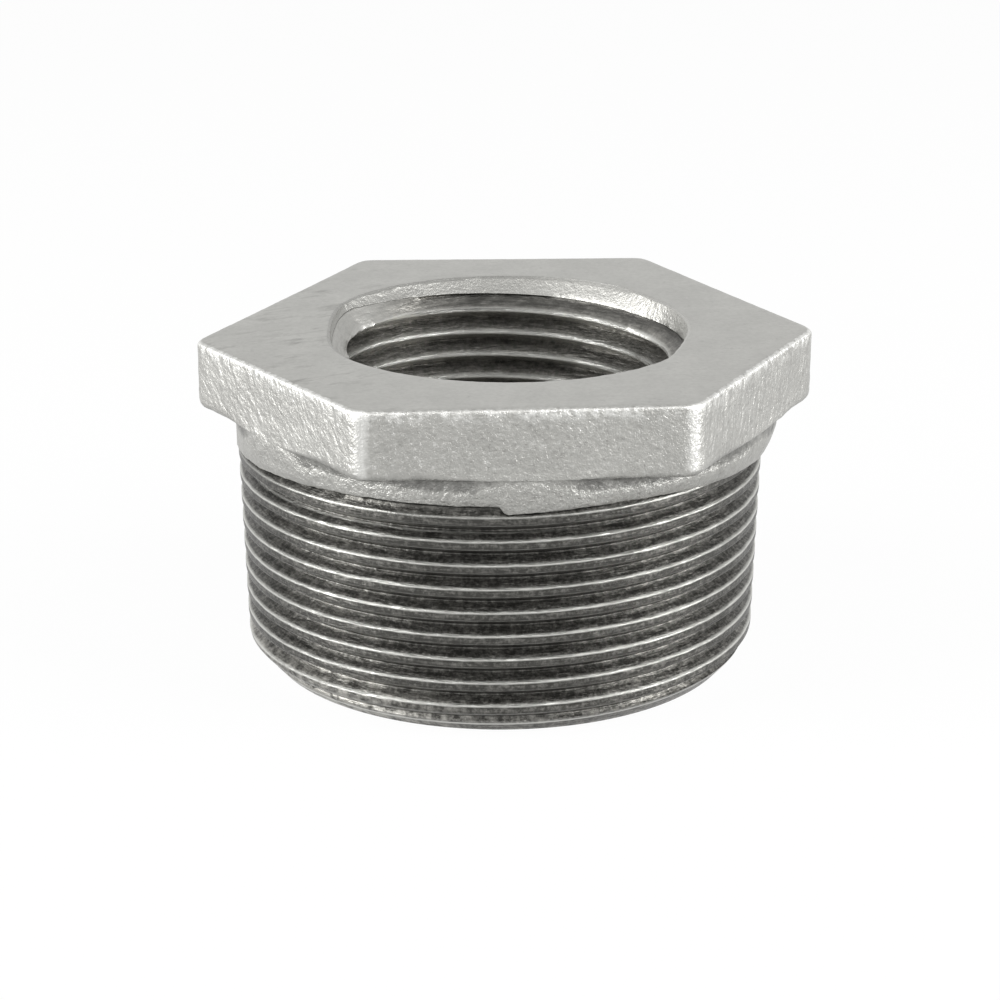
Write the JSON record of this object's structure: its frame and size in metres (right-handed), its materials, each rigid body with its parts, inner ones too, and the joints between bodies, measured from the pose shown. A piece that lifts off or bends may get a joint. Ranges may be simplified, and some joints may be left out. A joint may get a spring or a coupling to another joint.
{
  "type": "hex bushing",
  "caption": "Reducing bushing with a hexagon head: a taper pipe thread outside and a smaller taper pipe thread inside join a large pipe fitting to a smaller pipe.",
  "frame": {"origin": "on the common axis of the two threads, in the plane of the male end's face, on which the bushing stands", "axes": "+Z along the axis from the male end towards the hexagon head, +X through two opposite corners of the hexagon, +Y through two opposite flats"},
  "size_m": [0.0578, 0.0506, 0.0308],
  "materials": {
    "galvanised_iron": "hot-dip galvanised, matt and slightly rough, with bare oiled metal in the cut threads"
  },
  "bodies": {
    "root": {"hex_bushing": "galvanised_iron"}
  },
  "joints": []
}
